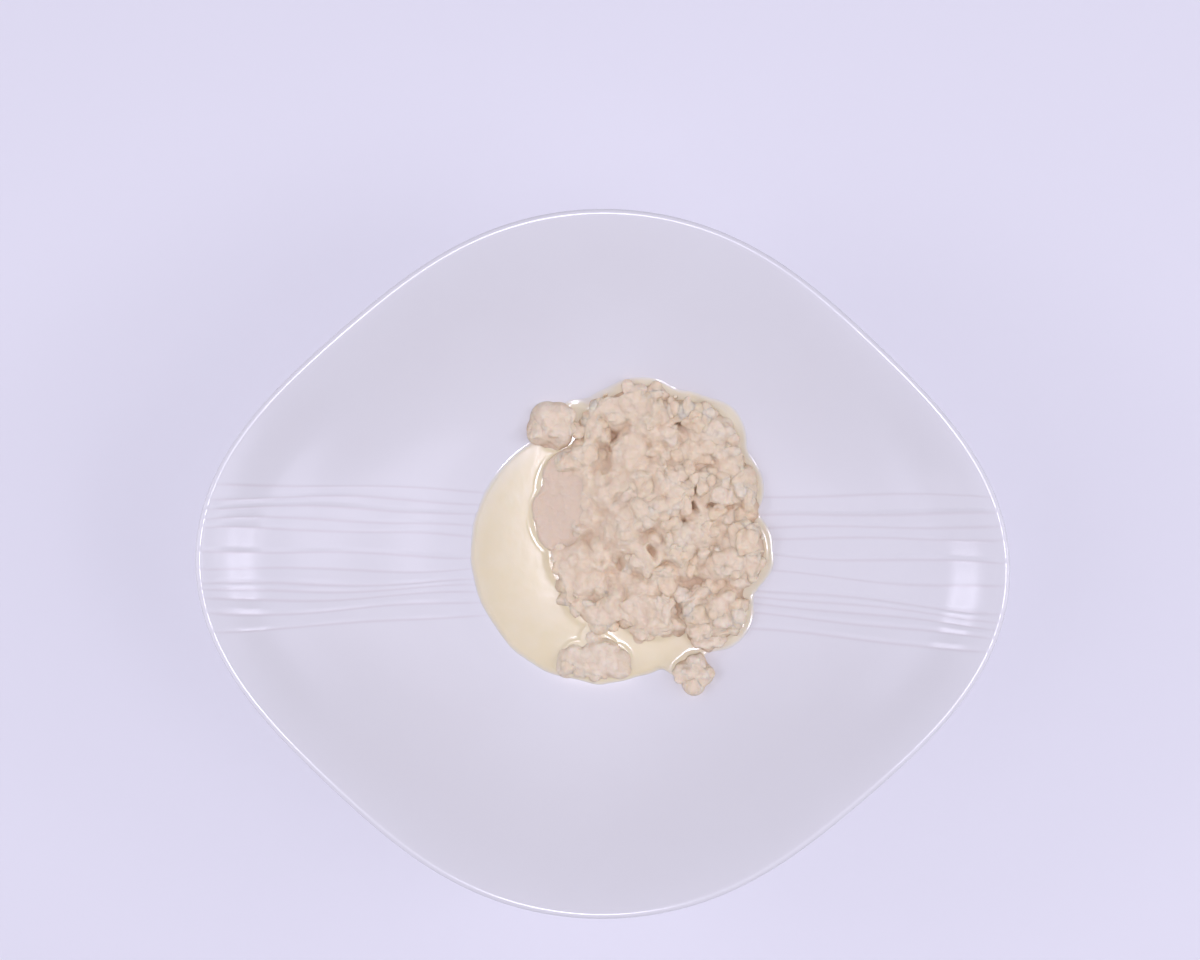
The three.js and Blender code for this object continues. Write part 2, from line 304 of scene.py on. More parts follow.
def sauce_material(colours):
    """Cream thickened with cheese: an emulsion, so light goes a little way in and comes
    out pale yellow, under a wet skin. The thin edge lets the white bowl through."""
    material, tree = new_material("cream_sauce")
    depth = node(tree, "Attribute", "Fac", attribute_name="depth")
    place = node(tree, "TexCoord", "Object")
    thick = node(tree, "MapRange", "Result", {
        "Value": depth, "From Min": 0.2, "From Max": 1.5})
    cloud = node(tree, "TexNoise", "Fac", {
        "Vector": place, "Scale": 1 / (7 * MM), "Detail": 3.0})
    cream = node(tree, "MapRange", "Result", {
        "Value": cloud, "From Min": 0.4, "From Max": 0.65, "To Max": 0.2})
    clear = node(tree, "MapRange", "Result", {
        "Value": depth, "From Max": 0.45, "To Min": 0.6, "To Max": 0.0})
    base = colours.sauce_thin
    for share, over in ((thick, colours.sauce), (cream, colours.sauce_thin),
                        (clear, colours.porcelain)):
        base = node(tree, "Mix", 2, {"Factor": share, 6: base, 7: over},
                    data_type="RGBA")
    wave = node(tree, "TexNoise", "Fac", {
        "Vector": place, "Scale": 1 / (4 * MM), "Detail": 2.0})
    uneven = node(tree, "Bump", "Normal", {"Height": wave, "Distance": 0.02 * MM})
    shader = node(tree, "BsdfPrincipled", "BSDF", {
        "Base Color": base, "Roughness": 0.12, "IOR": 1.36, "Normal": uneven,
        "Subsurface Weight": 0.25, "Subsurface Radius": (1.0, 0.75, 0.45),
        "Subsurface Scale": 2.0 * MM})
    node(tree, "OutputMaterial", None, {"Surface": shader})
    return material


def curd_material(colours):
    """Fresh cheese curd, torn and stirred: a moist, faintly translucent beige with a fine
    grain that catches light at its edges, with painted shade, warmer and browner, deep between the
    curds."""
    material, tree = new_material("moist_curd")
    tint, crevice_shade, soaked, coated = (
        node(tree, "Attribute", "Fac", attribute_name=name)
        for name in ("tint", "crevice_shade", "soaked", "coated"))
    place = node(tree, "TexCoord", "Object")
    cloud = node(tree, "TexNoise", "Fac", {
        "Vector": place, "Scale": 1 / (5 * MM), "Detail": 3.0})
    patches = node(tree, "MapRange", "Result", {
        "Value": cloud, "From Min": 0.35, "From Max": 0.7, "To Max": 0.6})
    grain = node(tree, "TexNoise", "Fac", {
        "Vector": place, "Scale": 1 / (1.7 * MM), "Detail": 5.0, "Roughness": 0.68})
    strayed = node(tree, "VectorMath", "Vector", {
        0: grain.node.outputs["Color"], 1: (1.4 * MM,) * 3, 2: place}, operation="MULTIPLY_ADD")
    beads = node(tree, "TexVoronoi", "Distance", {
        "Vector": strayed, "Scale": 1 / (2.6 * MM)})
    rounded = node(tree, "Math", "Value", {0: beads, 1: beads}, operation="MULTIPLY")
    # Painted shade: darker out towards the edges of the grain's beads, where they meet; deep adds
    # it to the crevices' painted shade.
    between = node(tree, "MapRange", "Result", {
        "Value": rounded, "From Min": 0.15, "From Max": 0.7, "To Max": 0.12})
    deep = node(tree, "Math", "Value", {0: crevice_shade, 1: between}, operation="ADD",
                use_clamp=True)
    base = colours.curd
    for share, over in ((tint, colours.curd_warm), (patches, colours.curd_warm),
                        (deep, colours.crevice_shade), (soaked, colours.soaked),
                        (coated, colours.sauce_thin)):
        base = node(tree, "Mix", 2, {"Factor": share, 6: base, 7: over},
                    data_type="RGBA")
    relief = node(tree, "MapRange", "Result", {
        "Value": soaked, "To Min": 0.36, "To Max": 0.05})
    beaded = node(tree, "Bump", "Normal", {
        "Height": rounded, "Distance": 1.3 * MM, "Strength": relief}, invert=True)
    uneven = node(tree, "Bump", "Normal", {
        "Height": grain, "Distance": 0.8 * MM, "Strength": 0.9, "Normal": beaded})
    shader = node(tree, "BsdfPrincipled", "BSDF", {
        "Base Color": base, "Roughness": 0.5, "IOR": 1.38, "Specular IOR Level": 0.35,
        "Normal": uneven,
        "Subsurface Weight": 0.4, "Subsurface Radius": (1.0, 0.66, 0.42),
        "Subsurface Scale": 1.6 * MM,
        "Sheen Weight": 0.12, "Sheen Roughness": 0.5, "Sheen Tint": colours.curd})
    node(tree, "OutputMaterial", None, {"Surface": shader})
    return material


def table_material(colours):
    """Satin laminate: a pale, faintly violet white with a very soft sheen."""
    material, tree = new_material("satin_laminate")
    shader = node(tree, "BsdfPrincipled", "BSDF", {
        "Base Color": colours.table, "Roughness": 0.6, "IOR": 1.45, "Specular IOR Level": 0.2})
    node(tree, "OutputMaterial", None, {"Surface": shader})
    return material


# ---- the bowl's shape

ROUND_REACH = 118.0      # the level lines turn round towards this circle in the middle
FLAT_SHARE = 0.28        # share of the reach that is flat floor
LIP_LEAN = 0.76          # how far the half-round lip stands out past the inner edge
HELD_SHARE = 0.38        # inside this share the mesh's columns run straight to the middle
HOLLOW = SimpleNamespace(share=0.89, width=0.05)
FOOT = SimpleNamespace(inner=45.0, outer=50.2, recess=2.8, blend=52.6, blend_top=4.4,
                       soft=0.8, bare_up_to=0.5)
LIP_CREASE = 0.3         # how much of a crease's painted shade goes on over the lip
TIP_HALF = 36            # the creased part of a tip reaches this far off the long axis

# Creases of the pleats: offsets from the long axis at the rim, and each one's depth.
RIGHT_CREASES = np.array([-28, -22.5, -18.5, -15.4, -12.5, -4, 4, 11.5, 15.6, 20, 27])
LEFT_CREASES = np.array([-26, -20, -15.5, -12.6, -10.3, -5.2, 0.5, 8.6, 12.4, 16.8, 21, 26])
PLEAT_GATHER = 0.92      # the creases draw together towards the middle by this factor


def rim_reach(direction, s):
    """Distance to the outside of the lip: a lozenge with round corners, as the sum of a
    constant and cosines of two, four and six times the direction."""
    mean = (s.length + s.width) / 4
    stretch = (s.length - s.width) / 4 - s.tip_draw
    return ((mean + s.shoulder) / 2 + stretch * np.cos(2 * direction)
            + (mean - s.shoulder) / 2 * np.cos(4 * direction)
            + s.tip_draw * np.cos(6 * direction))


def level_reach(share, direction, s):
    """Distance to the level line a share of the way out: the share times a reach that
    goes from a circle's to the rim's."""
    inner_rim = rim_reach(direction, s) - LIP_LEAN * s.wall_rim
    return share * mix(ROUND_REACH, inner_rim, smooth(share, 0.3, 1))


def inner_height(share, direction, s):
    """Height of the inner surface: flat, then 1.3 times the 2.3rd power of the way up the
    wall less 0.3 times its 6th power, so it steepens and eases again inside the lip, and
    less a Gaussian, the slight hollow under the lip of the tips."""
    rim = s.rim_mean + s.rim_swing * np.cos(2 * direction)
    up = np.maximum(0, (share - FLAT_SHARE) / (1 - FLAT_SHARE))
    hollow = s.hollow * np.exp(-((share - HOLLOW.share) / HOLLOW.width) ** 2)
    hollow = hollow * smooth(np.cos(2 * direction), 0.3, 0.9)
    return s.floor_top + (rim - s.floor_top) * (1.3 * up ** 2.3 - 0.3 * up ** 6) - hollow


def floor_under(x, y, s):
    """Inner height under any point, by walking the share back from the distance."""
    reach = np.hypot(x, y) + 1e-6
    direction = np.arctan2(y, x)
    share = reach / ROUND_REACH
    for _ in range(6):
        share = share * reach / level_reach(share, direction, s)
    return inner_height(share, direction, s)


def tip_offsets(creases):
    """Where columns of the mesh stand across a tip: evenly, and close by each crease."""
    even = np.arange(-TIP_HALF, TIP_HALF + 0.1, 0.9)
    close = (creases[:, None] + np.arange(-0.9, 2.8, 0.26)).ravel()
    offsets = np.sort(np.concatenate([even, close]))
    return offsets[np.concatenate([[True], np.diff(offsets) > 0.12])]


def pleat_relief(offsets, creases, depth):
    """Height across a tip: at each crease a narrow groove, then a soft step up, then a
    straight slope down to the next crease."""
    k = np.clip(np.searchsorted(creases, offsets, side="right") - 1, 0, len(creases) - 2)
    into = offsets - creases[k]
    width = creases[k + 1] - creases[k]
    depths = depth * (0.55 + 0.45 * np.sin(2.3 * np.arange(len(creases))))[k]
    pleat = depths * np.clip(smooth(into, 0, 2.2) * (width - into) / width, 0, 1)
    within = (offsets > creases[0]) & (offsets < creases[-1])
    nearest = np.abs(offsets[:, None] - creases).min(1)
    # The groove's narrow dip, which is also the mask of the creases' painted shade.
    groove = np.exp(-(nearest / 0.5) ** 2)
    return np.where(within, pleat, 0) - 0.1 * depth * groove, groove


def tip_directions(offsets, share, s, phase):
    """Directions of a tip's columns: each keeps an offset from the long axis that draws in
    towards the middle and wanders by two slow sines, so its direction is the arcsine of
    the offset over the reach."""
    held = np.maximum(share, HELD_SHARE)
    reach = held * ROUND_REACH
    wander = (1.2 * np.sin(reach / 21 + 0.10 * offsets + phase)
              + 0.6 * np.sin(reach / 8.3 + 0.27 * offsets + 2 * phase))
    wander = wander * smooth(np.abs(offsets), TIP_HALF, 20)
    across = offsets * mix(PLEAT_GATHER, 1, smooth(held, HELD_SHARE, 1)) + wander
    direction = np.zeros_like(across)
    for _ in range(5):
        direction = np.arcsin(across / level_reach(held, direction, s))
    return direction


def bowl_columns(share, s):
    """Directions of all columns at each share, with the relief and groove of each."""
    share = np.reshape(share, (-1, 1))
    right_offsets, left_offsets = tip_offsets(RIGHT_CREASES), tip_offsets(LEFT_CREASES)[::-1]
    right = tip_directions(right_offsets, share, s, 0.4)
    left = math.pi - tip_directions(left_offsets, share, s, 2.1)
    turn = np.arange(1, 90) / 90
    back = mix(right[:, -1:], left[:, :1], turn)
    front = mix(left[:, -1:], right[:, :1] + math.tau, turn)
    plain = np.zeros((2, len(turn)))
    relief, groove = np.hstack([
        pleat_relief(right_offsets, RIGHT_CREASES, s.pleat_depth), plain,
        pleat_relief(left_offsets, LEFT_CREASES, s.pleat_depth), plain])
    return np.hstack([right, back, left, front]), relief, groove


def wall_rings(share, depth, s):
    """Rings of the wall: the inner surface at each share, moved out along its normal by
    the depth and up by the pleats' relief, which fades towards the middle."""
    share = np.reshape(share, (-1, 1))
    depth = np.reshape(depth, (-1, 1))
    direction, relief, groove = bowl_columns(share, s)
    step = 0.01
    run = level_reach(share + step, direction, s) - level_reach(share - step, direction, s)
    slope = (inner_height(share + step, direction, s)
             - inner_height(share - step, direction, s)) / run
    lean = np.hypot(1, slope)
    reach = level_reach(share, direction, s)
    fade = smooth(reach, 43, 60) * (1 - 0.5 * smooth(share, 0.97, 1))
    out = reach + depth * slope / lean
    up = inner_height(share, direction, s) - depth / lean + relief * fade
    return turned(out, direction, up), slope, direction, groove * fade


def lip_rings(s, count):
    """Rings over the lip: a half circle as wide as the wall, from its outside to its
    inside, square to the slope of the wall."""
    radius = s.wall_rim / 2
    middle, slope, direction, groove = wall_rings([1.0], [radius], s)
    turn = np.arctan(slope) - math.pi / 2 + math.pi * np.arange(1, count)[:, None] / count
    out = np.hypot(middle[..., 0], middle[..., 1]) + radius * np.cos(turn)
    up = middle[..., 2] + radius * np.sin(turn)
    return turned(out, direction, up), np.repeat(groove * LIP_CREASE, count - 1, 0)


def foot_rings(s):
    """Rings of the underside and the foot: a recess, a rounded ring to stand on, and a
    soft hollow where it runs out into the wall."""
    corner = np.linspace(0, math.pi / 2, 5)[:, None]
    soft = FOOT.soft
    profile = np.concatenate([
        [[10, FOOT.recess + 0.2], [30, FOOT.recess + 0.1], [FOOT.inner - 2.6, FOOT.recess]],
        [[FOOT.inner - 1.0, FOOT.recess - 0.7]],
        np.hstack([FOOT.inner + soft - soft * np.cos(corner), soft - soft * np.sin(corner)]),
        np.hstack([FOOT.outer - soft + soft * np.sin(corner), soft - soft * np.cos(corner)]),
        [[FOOT.outer + 0.5, 2.2], [FOOT.outer + 1.3, 3.6], [FOOT.blend, FOOT.blend_top]],
    ])
    direction, _, _ = bowl_columns([0.0], s)
    radius, height = profile[:, :1], profile[:, 1:]
    bare = np.where(height < FOOT.bare_up_to, 1.0, 0.0) + 0 * direction
    return turned(radius, direction, height), bare


def bowl_mesh(s):
    """The whole bowl as rings from the middle of its underside, out over the foot, up the
    outside, over the lip and down the inside to the middle of its floor."""
    foot, bare = foot_rings(s)
    outer_share = np.linspace(0.5, 1, 26)
    outer_depth = mix(s.wall_floor, s.wall_rim, smooth(outer_share, 0.4, 1))
    outside, _, _, outer_groove = wall_rings(outer_share, outer_depth, s)
    lip, lip_groove = lip_rings(s, 12)
    inner_share = np.concatenate([1 - 0.3 * np.linspace(0, 1, 30) ** 1.2,
                                  np.linspace(0.69, 0.28, 32), [0.2, 0.1]])
    inside, _, _, inner_groove = wall_rings(inner_share, [0.0], s)
    rings = np.concatenate([foot, outside, lip, inside])
    # Painted shade of the creases: half strength outside, a share over the lip, full inside, none
    # on the foot.
    crease = np.concatenate([0 * bare, 0.5 * outer_groove, lip_groove, inner_groove])
    bared = np.zeros_like(crease)
    bared[:len(bare)] = bare
    points = ring_points([0, 0, FOOT.recess + 0.2], rings, [0, 0, s.floor_top])
    quads, triangles = ring_faces(rings.shape[0], rings.shape[1])
    return points, quads, triangles, {"crease": np.pad(crease.ravel(), 1),
                                      "bare": np.pad(bared.ravel(), 1)}


# ---- where the food lies

# Mounds that make up the heap: x, y, radius and height above the bowl's floor. The
# eleventh and twelfth lie soaked in the sauce as a smooth slab.
MOUNDS = np.array([
    (26, 18, 31, 16), (13.2, 49.7, 18.5, 10), (29, 48, 15, 11), (38, 46.5, 14, 10),
    (42, 27, 17.5, 12), (46, 4, 18, 11), (42, -19, 14.5, 10), (20, -15.5, 16, 10),
    (-1, -12.8, 15.2, 6.5), (-7, 0, 15.5, 5.5), (-10.5, 16, 18, 4.5), (-8, 26.5, 18, 4.5),
    (-1.5, 36, 13, 6.5), (4.6, 49.5, 14.6, 8)])
HEAP_LOBES, SOAKED = MOUNDS[:, :3], MOUNDS[10:12]
SLAB = SimpleNamespace(middle=(-18, 20), squash=0.8)
HEAP_MIDDLE = (14.0, 14.0)
HEAP_EDGE = 3.2          # height of the bluff at the heap's outline
SLAB_SINK = 1.6          # how much lower the heap's curds lie by the slab
RIM_CURDS = 56           # loose curds set round that outline

# The bigger lumps of curd on the heap: x, y and half the width of each.
LUMPS = np.array([
    (-2.2, 49.5, 5.8), (4, 56.5, 5), (16.5, 56, 7.5), (12.5, 51, 7), (24.5, 56, 5.5),
    (34, 53, 5.5), (42.5, 51, 5.5), (8.5, 40, 8.5), (-6.5, 41, 6.5), (22, 42.5, 7),
    (36, 44, 8.5), (46.5, 40.5, 5.5), (52.5, 32.5, 6), (27, 33, 6), (14.5, 27.5, 8),
    (38, 27.5, 5), (45.5, 25.5, 4), (-1, 15.5, 5.5), (-9, 10.5, 5.5), (10, 12.5, 8),
    (30, 21.5, 4), (30.5, 10, 5), (38.5, 11.5, 5), (47.5, 18.5, 5.5), (50.5, 9, 5.5),
    (53.5, 20.5, 5.5), (30, 2.5, 5.5), (48, 1, 7), (13.5, 0, 5.5), (23.5, -5, 7.5),
    (-9, 0, 6), (-15.5, -4, 5), (-5.5, -9, 6), (3.5, -16, 7), (12, -12.5, 4.5),
    (23, -18.5, 8), (37.5, -15, 7), (44, -8.5, 4.5), (49, -15.5, 5), (15.5, -27.5, 5),
    (26.5, -26, 5.5), (39, -25, 4.5), (41, -30, 5), (55, 7.5, 5), (20.5, 18.5, 5),
    (4.5, 24.5, 5.5), (-11, 49.5, 4.2)])
# Open gaps between lumps, where the heap is seen into: x and y.
GAPS = np.array([
    (28.5, 31.5), (33, 27), (33.5, 20.5), (42.5, 23), (48, 21.5), (31, 15), (39.5, 13.5),
    (18.8, 2.8), (22.5, -1.5), (30, -17.5), (36.5, -8), (2, 48), (3, 42), (28, 50.5),
    (17, 41), (-12, 6.5)])
GAP = SimpleNamespace(width=1.6, depth=4.2, bend=1.1)

# Clumps lying apart: the lobes of each one's body (x, y, radius), its height, the width
# of its slope and of its rounded edge, how far sauce coats it, and the curds that stand
# out of it (x, y and half the width).
CLUMPS = {
    "clump_by_heap": SimpleNamespace(
        lobes=np.array([(-22.5, 53.2, 7), (-18.2, 53.6, 6.5), (-19.5, 47, 6.8), (-24.5, 49, 6.2),
                        (-17, 50, 5.5)]), height=5.0, skirt=6.0, corner=3.0, coat=0.0,
        curds=np.array([(-22, 52.5, 5.6), (-17.8, 53, 5), (-19.5, 47.8, 5.6), (-25, 49, 4.8),
                        (-16.5, 49.5, 4.6)])),
    "clump_in_pool": SimpleNamespace(
        lobes=np.array([(-12.6, -41.2, 5.8), (-8.5, -38.8, 8), (-1, -37.5, 9.5), (5, -39.5, 8),
                        (8.2, -41.8, 5), (-3, -30.5, 6)]), height=4.0,
        skirt=7.0, corner=1.4, coat=0.18,
        curds=np.array([(-1.5, -38.5, 5.5), (-7, -41, 5), (4.5, -40, 5), (-2.5, -43.5, 4.5),
                        (-11.5, -41, 3.8), (7.5, -42, 3.8), (3, -35.5, 4.2)])),
    "clump_at_edge": SimpleNamespace(
        lobes=np.array([(33.2, -43, 4.8), (39.2, -43.5, 4.8), (36.2, -47.5, 4.6),
                        (36.8, -40.5, 4.8), (36, -44, 5.5)]), height=4.5, skirt=4.5,
        corner=2.6, coat=0.25,
        curds=np.array([(37, -40, 4.6), (33.8, -43, 4.6), (39, -44, 4.5), (36, -47, 4.2)])),
}
POOL_MIDDLE = (-0.6, 2.4)
SAUCE_MIDDLE = (8.0, 6.0)    # the pole of the grid that all the sauce is made on
# Sauce drawn out past the round pool, beside the heap and under the clumps.
FILM_LOBES = np.array([(-11, 52, 9.5), (33, -39.5, 7.5), (0, -40, 9.0)])
RAGGED = 0.55            # how far the pool's outline wanders in and out
MENISCUS = SimpleNamespace(height=0.25, width=0.4)
# How much thicker the film is to the right and by the clumps, and how sharply it takes
# over from the level pool.
FILM = SimpleNamespace(right=0.3, clumps=0.6, sharp=25)
# The low ridge in the sauce's skin along the slab, and how far from the slab it stands.
RIDGE = SimpleNamespace(height=0.07, away=0.9, width=0.24)
# Small beads of curd just under the sauce's skin: x, y and radius, and how high they are.
BEADS = np.array([(-39, 9.5, 0.9), (-35.6, 7.6, 1.7), (-38, 3, 0.7), (-14, -17.5, 1.9),
                  (-20.5, -22.5, 0.9), (-25, -33.5, 0.8), (-13.6, 0, 1.2), (-20.4, -3.5, 1.0),
                  (-17.2, -15.4, 0.8)])
BEAD_HEIGHT = 0.9


def lobe_reach(lobes, middle, direction):
    """How far a ray from the middle goes before it leaves the last of some circles: its
    run to the circle's nearest pass plus the root of radius squared less miss squared."""
    dx, dy = np.cos(direction)[..., None], np.sin(direction)[..., None]
    x, y = lobes[:, 0] - middle[0], lobes[:, 1] - middle[1]
    along, aside = x * dx + y * dy, x * dy - y * dx
    inside = lobes[:, 2] ** 2 - aside ** 2
    return np.where(inside > 0, along + np.sqrt(np.maximum(inside, 0)), 0).max(-1)


def lobe_distance(lobes, x, y):
    """Distance outside the nearest of some circles, negative inside them."""
    return (apart(x, y, lobes) - lobes[:, 2]).min(-1)


def mound_height(mounds, x, y, least):
    """Height above the floor of the highest of some mounds, each a dome of height
    h (1 - (distance / radius)^2)^0.7, and never less than the bluff edge."""
    share = np.minimum(1, apart(x, y, mounds) / mounds[:, 2])
    return np.maximum((mounds[:, 3] * (1 - share ** 2) ** 0.7).max(-1), least)


def off_slab(x, y, near=10, far=15):
    """0 where the heap lies soaked and smooth in the sauce, 1 where it stands clear: a
    soft step of the distance from the slab's middle."""
    away = np.hypot(x - SLAB.middle[0], (y - SLAB.middle[1]) * SLAB.squash)
    return smooth(away, near, far)


# ---- the sauce's shape


def round_off(values, width):
    """Smooth a closed run of values with a Gaussian of the given width in steps."""
    count = len(values)
    away = np.minimum(np.arange(count), count - np.arange(count))
    kernel = np.exp(-0.5 * (away / width) ** 2)
    spectrum = np.fft.rfft(values) * np.fft.rfft(kernel / kernel.sum())
    return np.fft.irfft(spectrum, count)


def underside(middle, reach, shares, direction, bowl, lift):
    """Rings of a body's underside: the bowl's floor under each share of the reach, and a
    little higher or lower."""
    x, y = around(middle, reach * np.array(shares)[:, None], direction)
    return np.stack([x, y, floor_under(x, y, bowl) + lift], -1)


def pool_reach(s, direction, rng):
    """The pool's outline: the reach of the round pool and of the film round the food,
    smoothed, with cosine and sine waves that are lower the more of them go round."""
    crept = HEAP_LOBES + [0, 0, s.creep]
    lobes = np.concatenate([[(*POOL_MIDDLE, s.radius)], crept, FILM_LOBES])
    reach = round_off(lobe_reach(lobes, SAUCE_MIDDLE, direction), 4)
    order = np.arange(4, 34)
    waves = rng.normal(size=(2, len(order))) / order
    turn = order[:, None] * direction
    return reach + RAGGED * (waves[0] @ np.cos(turn) + waves[1] @ np.sin(turn))


def pool_level(s, x, y, floor):
    """Height of the sauce's skin: the pool's level, or where that is higher the film over
    the floor, thicker to the right and by the clumps. Near food it rises in a meniscus
    that falls off exponentially, left of the soaked slab it rises in a low Gaussian
    ridge, and under the slab it sinks."""
    food = np.concatenate([HEAP_LOBES] + [clump.lobes for clump in CLUMPS.values()])
    away = np.maximum(0, lobe_distance(food, x, y) + 1.0)
    film = s.film + FILM.right * smooth(x, -5, 10)
    film = film + FILM.clumps * smooth(-lobe_distance(FILM_LOBES, x, y), 0, 4)
    level = np.logaddexp(s.level * FILM.sharp, (floor + film) * FILM.sharp) / FILM.sharp
    level = level + MENISCUS.height * np.exp(-away / MENISCUS.width)
    from_slab = lobe_distance(SOAKED[:, :3], x, y)
    ridge = RIDGE.height * np.exp(-((from_slab - RIDGE.away) / RIDGE.width) ** 2)
    ridge = ridge * smooth(-x, 14, 20)
    level = level + ridge * (0.5 + 0.5 * np.sin(y / 3.7))
    return level - 2.0 * smooth(-from_slab, 2.0, 4.5)


def sauce_mesh(s, bowl, seed):
    """The pool on a polar grid: its skin runs down as a parabola at the outline, and its
    underside lies a little under the bowl's floor. Its depth, for the colour, is less
    over the beads."""
    count = 720
    direction = np.linspace(0, math.tau, count, endpoint=False)
    reach = pool_reach(s, direction, np.random.default_rng(seed))
    share = 1 - np.linspace(1, 0, 130)[1:] ** 1.6
    share = np.concatenate([share[share < 0.9985], [0.9985, 1.0]])[:, None]
    x, y = around(SAUCE_MIDDLE, reach * share, direction)
    floor = floor_under(x, y, bowl)
    bead = np.exp(-(apart(x, y, BEADS) / BEADS[:, 2]) ** 2)
    in_from_edge = np.clip((1 - share) * reach / s.bead, 0, 1)
    thick = (pool_level(s, x, y, floor) - floor) * (1 - (1 - in_from_edge) ** 2)
    top = np.stack([x, y, floor + thick], -1)
    lift = -0.4
    foot = underside(SAUCE_MIDDLE, reach, [0.3, 0.6, 0.8, 0.9, 0.97, 1.0], direction, bowl, lift)
    rings = np.concatenate([foot, top[::-1]])
    points = ring_points([*SAUCE_MIDDLE, bowl.floor_top + lift], rings,
                         [*SAUCE_MIDDLE, s.level])
    quads, triangles = ring_faces(rings.shape[0], count)
    over = thick - BEAD_HEIGHT * bead.max(-1)
    depth = np.concatenate([[1], np.zeros(foot.shape[0] * count), over[::-1].ravel(), [2]])
    return points, quads, triangles, {"depth": depth}


# ---- the curds' shapes


# The ripples over a curd: how many radians of each wave cross half the body, and their
# height against its half width.
RIPPLE = SimpleNamespace(waves=(2.5, 3.5, 5, 6, 7, 8), height=0.024)
KNOB = 2.1               # half the width of a knob on a big curd
CORE = 0.55              # least reach of a curd between its knobs, as a share of its size


def knob_count(size):
    """How many knobs a curd has: about as many as cover its section, and at least five."""
    return np.maximum(5, np.round((size / KNOB) ** 2))


def sphere_grid(rows, columns):
    """Directions over a sphere: a pole, rows of columns, a pole, with their faces."""
    polar = math.pi - math.pi * np.arange(1, rows)[:, None] / rows
    turn = math.tau * np.arange(columns) / columns
    rings = turned(np.sin(polar), turn, np.cos(polar))
    return ring_points([0, 0, -1], rings, [0, 0, 1]), *ring_faces(rows - 1, columns)


def random_turns(rng, count):
    """Random rotation matrices, from random unit quaternions (w, v): the unit matrix times
    2 w^2 - 1, and twice v's outer product with itself, and 2 w times its cross product."""
    q = rng.normal(size=(count, 4))
    q /= np.linalg.norm(q, axis=1, keepdims=True)
    w, v, unit = q[:, :1, None], q[:, None, 1:], np.eye(3)
    return (2 * w ** 2 - 1) * unit + 2 * v.swapaxes(1, 2) * v + 2 * w * np.cross(unit, v)


def set_down(rng, x, y, size, top, flat, bowl):
    """Where curds lie and how big each is: every one is flattened by its own share, its
    top comes to the height given, and none sinks through the floor."""
    flat = rng.uniform(*flat, x.shape)
    z = np.maximum(top - size * flat, floor_under(x, y, bowl) + size * flat * 0.75)
    wide = size * rng.uniform(0.85, 1.15, (2, *x.shape))
    return np.stack([x, y, z], -1), np.stack([*wide, size * flat], -1)


def ball_spirals(rng, count, knobs):
    """The balls that curds are made of, for bodies of half width 1: middles round each
    body's own along a golden-angle spiral, with some disorder, and radii."""
    number = np.broadcast_to(knobs, count)[:, None]
    step = np.arange(int(np.max(knobs))) + 0.5
    height, turn = np.clip(1 - 2 * step / number, -1, 1), math.pi * (1 + math.sqrt(5)) * step
    away = turned(np.sqrt(1 - height ** 2), turn, height)
    away = away + rng.normal(scale=0.5, size=away.shape) / np.sqrt(number)[..., None]
    away /= np.linalg.norm(away, axis=2, keepdims=True)
    away *= rng.uniform(0.42, 0.66, (count, len(step), 1))
    radius = rng.uniform(0.85, 1.45, (count, len(step))) / np.sqrt(number)
    return away, radius * (step < number)


def knobbly_reach(rng, away, radius, grid):
    """Reach of each curd along the grid's directions: the 6-norm of the distances where
    the ray leaves each ball, so the balls stand out as knobs and run into each other with
    soft fillets. Six sine waves across the body, at random slants, make the knobs uneven
    and ragged."""
    count = len(away)
    along = np.einsum("nkc,gc->nkg", away, grid)
    inside = (radius ** 2 - (away ** 2).sum(2))[..., None] + along ** 2
    exits = np.where((inside > 0) & (along > 0), along + np.sqrt(np.maximum(inside, 0)), 0.0)
    exits = np.concatenate([np.full((count, 1, len(grid)), CORE), exits], 1)
    reach = (exits ** 6).sum(1) ** (1 / 6)
    waves = np.array(RIPPLE.waves)[:, None]
    axes = rng.normal(size=(count, len(waves), 3)) * waves
    ripple = np.sin(np.einsum("nkc,gc->nkg", axes, grid)
                    + rng.uniform(0, math.tau, (count, len(waves), 1)))
    return reach * (1 + RIPPLE.height * ripple.sum(1))


def knobbly_bodies(rng, centres, sizes, knobs, rows, columns):
    """Star-shaped curds, one at each centre, each a sphere grid times its reach, turned at
    random and stretched to its size. With them come the balls they are made of, each as
    x, y, z, and its half width and half height."""
    grid, quads, triangles = sphere_grid(rows, columns)
    count = len(centres)
    away, radius = ball_spirals(rng, count, knobs)
    reach = knobbly_reach(rng, away, radius, grid)
    turns = random_turns(rng, count)
    body = np.einsum("nij,ngj->ngi", turns, reach[..., None] * grid)
    points = centres[:, None] + body * sizes[:, None]
    steps = len(grid) * np.arange(count)[:, None, None]
    middles = centres[:, None] + np.einsum("nij,nkj->nki", turns, away) * sizes[:, None]
    balls = np.concatenate([middles, (radius * sizes[:, :1])[..., None],
                            (radius * sizes[:, 2:])[..., None]], 2)[radius > 0]
    return points, (quads + steps).reshape(-1, 4), (triangles + steps).reshape(-1, 3), balls


def stirred(points, bowl, seed):
    """Points of the food moved as stirring bends it: along each of sixteen random slants
    by a sine wave that runs along another, seven of them 8 to 16 mm long and nine 3 to
    6 mm long, each up to a thirtieth of its length high or 0.5 mm, and less and less in
    the last 3 mm above the floor."""
    rng = np.random.default_rng(seed)
    flat = points.reshape(-1, 3)
    slants = rng.normal(size=(2, 16, 3))
    along, aside = slants / np.linalg.norm(slants, axis=2, keepdims=True)
    lengths = np.concatenate([rng.uniform(8, 16, 7), rng.uniform(3, 6, 9)])[:, None]
    heights = np.minimum(lengths / 30, 0.5) * rng.uniform(0.7, 1, (16, 1))
    waves = flat @ (along * math.tau / lengths).T + rng.uniform(0, math.tau, 16)
    shift = np.sin(waves) @ (aside * heights)
    above = flat[:, 2] - floor_under(flat[:, 0], flat[:, 1], bowl)
    return (flat + shift * smooth(above, 0, 3)[:, None]).reshape(points.shape)


